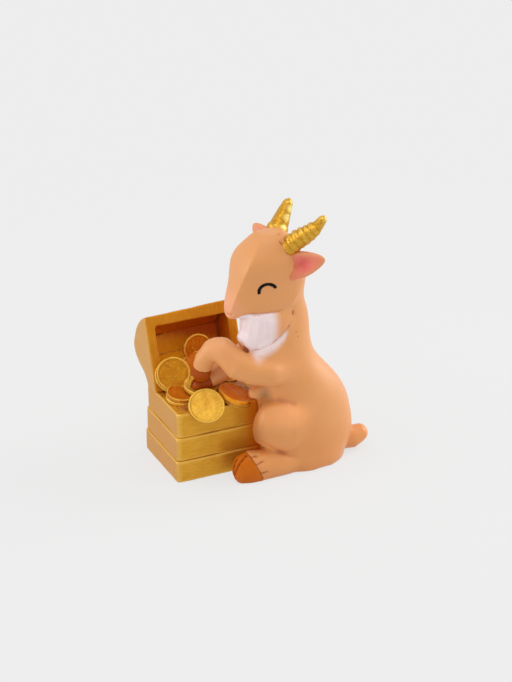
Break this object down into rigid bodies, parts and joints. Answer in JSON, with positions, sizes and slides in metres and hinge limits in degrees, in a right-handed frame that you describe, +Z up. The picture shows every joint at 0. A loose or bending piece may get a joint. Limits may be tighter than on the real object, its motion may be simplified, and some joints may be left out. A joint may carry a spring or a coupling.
{
  "type": "resin goat figurine with treasure chest",
  "caption": "Hand-painted goat figurine resting its forelegs in an open treasure chest heaped with bare gold coins.",
  "frame": {"origin": "middle of the footprint on the surface that the figurine stands on", "axes": "+Z up; the goat looks towards -X; the chest lid stands at the +Y side and the chest's front faces -Y"},
  "size_m": [0.0482, 0.0342, 0.0632],
  "materials": {
    "fur_paint": "satin hand-sprayed peach-orange paint on cast resin, darker orange-brown wash in the creases",
    "beard_paint": "satin pinkish white brushed paint",
    "ear_paint": "satin paint, pink inside with an orange-brown rim",
    "hoof_paint": "semi-gloss chestnut brown paint",
    "eye_paint": "glossy black hand-painted line",
    "horn_gold": "bright gold metallic paint with a brown wash in the grooves",
    "chest_gold": "brushed antique gold metallic paint with brown wash in the seams",
    "coin_gold": "bright gold metallic paint on the coins, brown wash between them"
  },
  "bodies": {
    "root": {"chest_base_course": "chest_gold", "chest_lid": "chest_gold", "chest_middle_course": "chest_gold", "chest_top_course": "chest_gold", "coin_back_right": "coin_gold", "coin_centre": "coin_gold", "coin_front": "coin_gold", "coin_heap": "coin_gold", "coin_in_lid": "coin_gold", "coin_leaning_back": "coin_gold", "coin_leaning_front": "coin_gold", "coin_right_lower": "coin_gold", "coin_right_upper": "coin_gold", "coin_stack_bottom": "coin_gold", "coin_stack_middle": "coin_gold", "coin_stack_top": "coin_gold", "coin_wrist": "coin_gold", "goat_beard": "beard_paint", "goat_bib": "beard_paint", "goat_head": "fur_paint", "goat_left_ear": "ear_paint", "goat_left_eye_line": "eye_paint", "goat_left_fore_hoof": "hoof_paint", "goat_left_foreleg": "fur_paint", "goat_left_hind_foot": "fur_paint", "goat_left_hind_hoof": "hoof_paint", "goat_left_horn": "horn_gold", "goat_left_thigh": "fur_paint", "goat_right_ear": "ear_paint", "goat_right_eye_line": "eye_paint", "goat_right_fore_hoof": "hoof_paint", "goat_right_foreleg": "fur_paint", "goat_right_hind_foot": "fur_paint", "goat_right_hind_hoof": "hoof_paint", "goat_right_horn": "horn_gold", "goat_right_thigh": "fur_paint", "goat_tail": "fur_paint", "goat_torso": "fur_paint"}
  },
  "joints": []
}
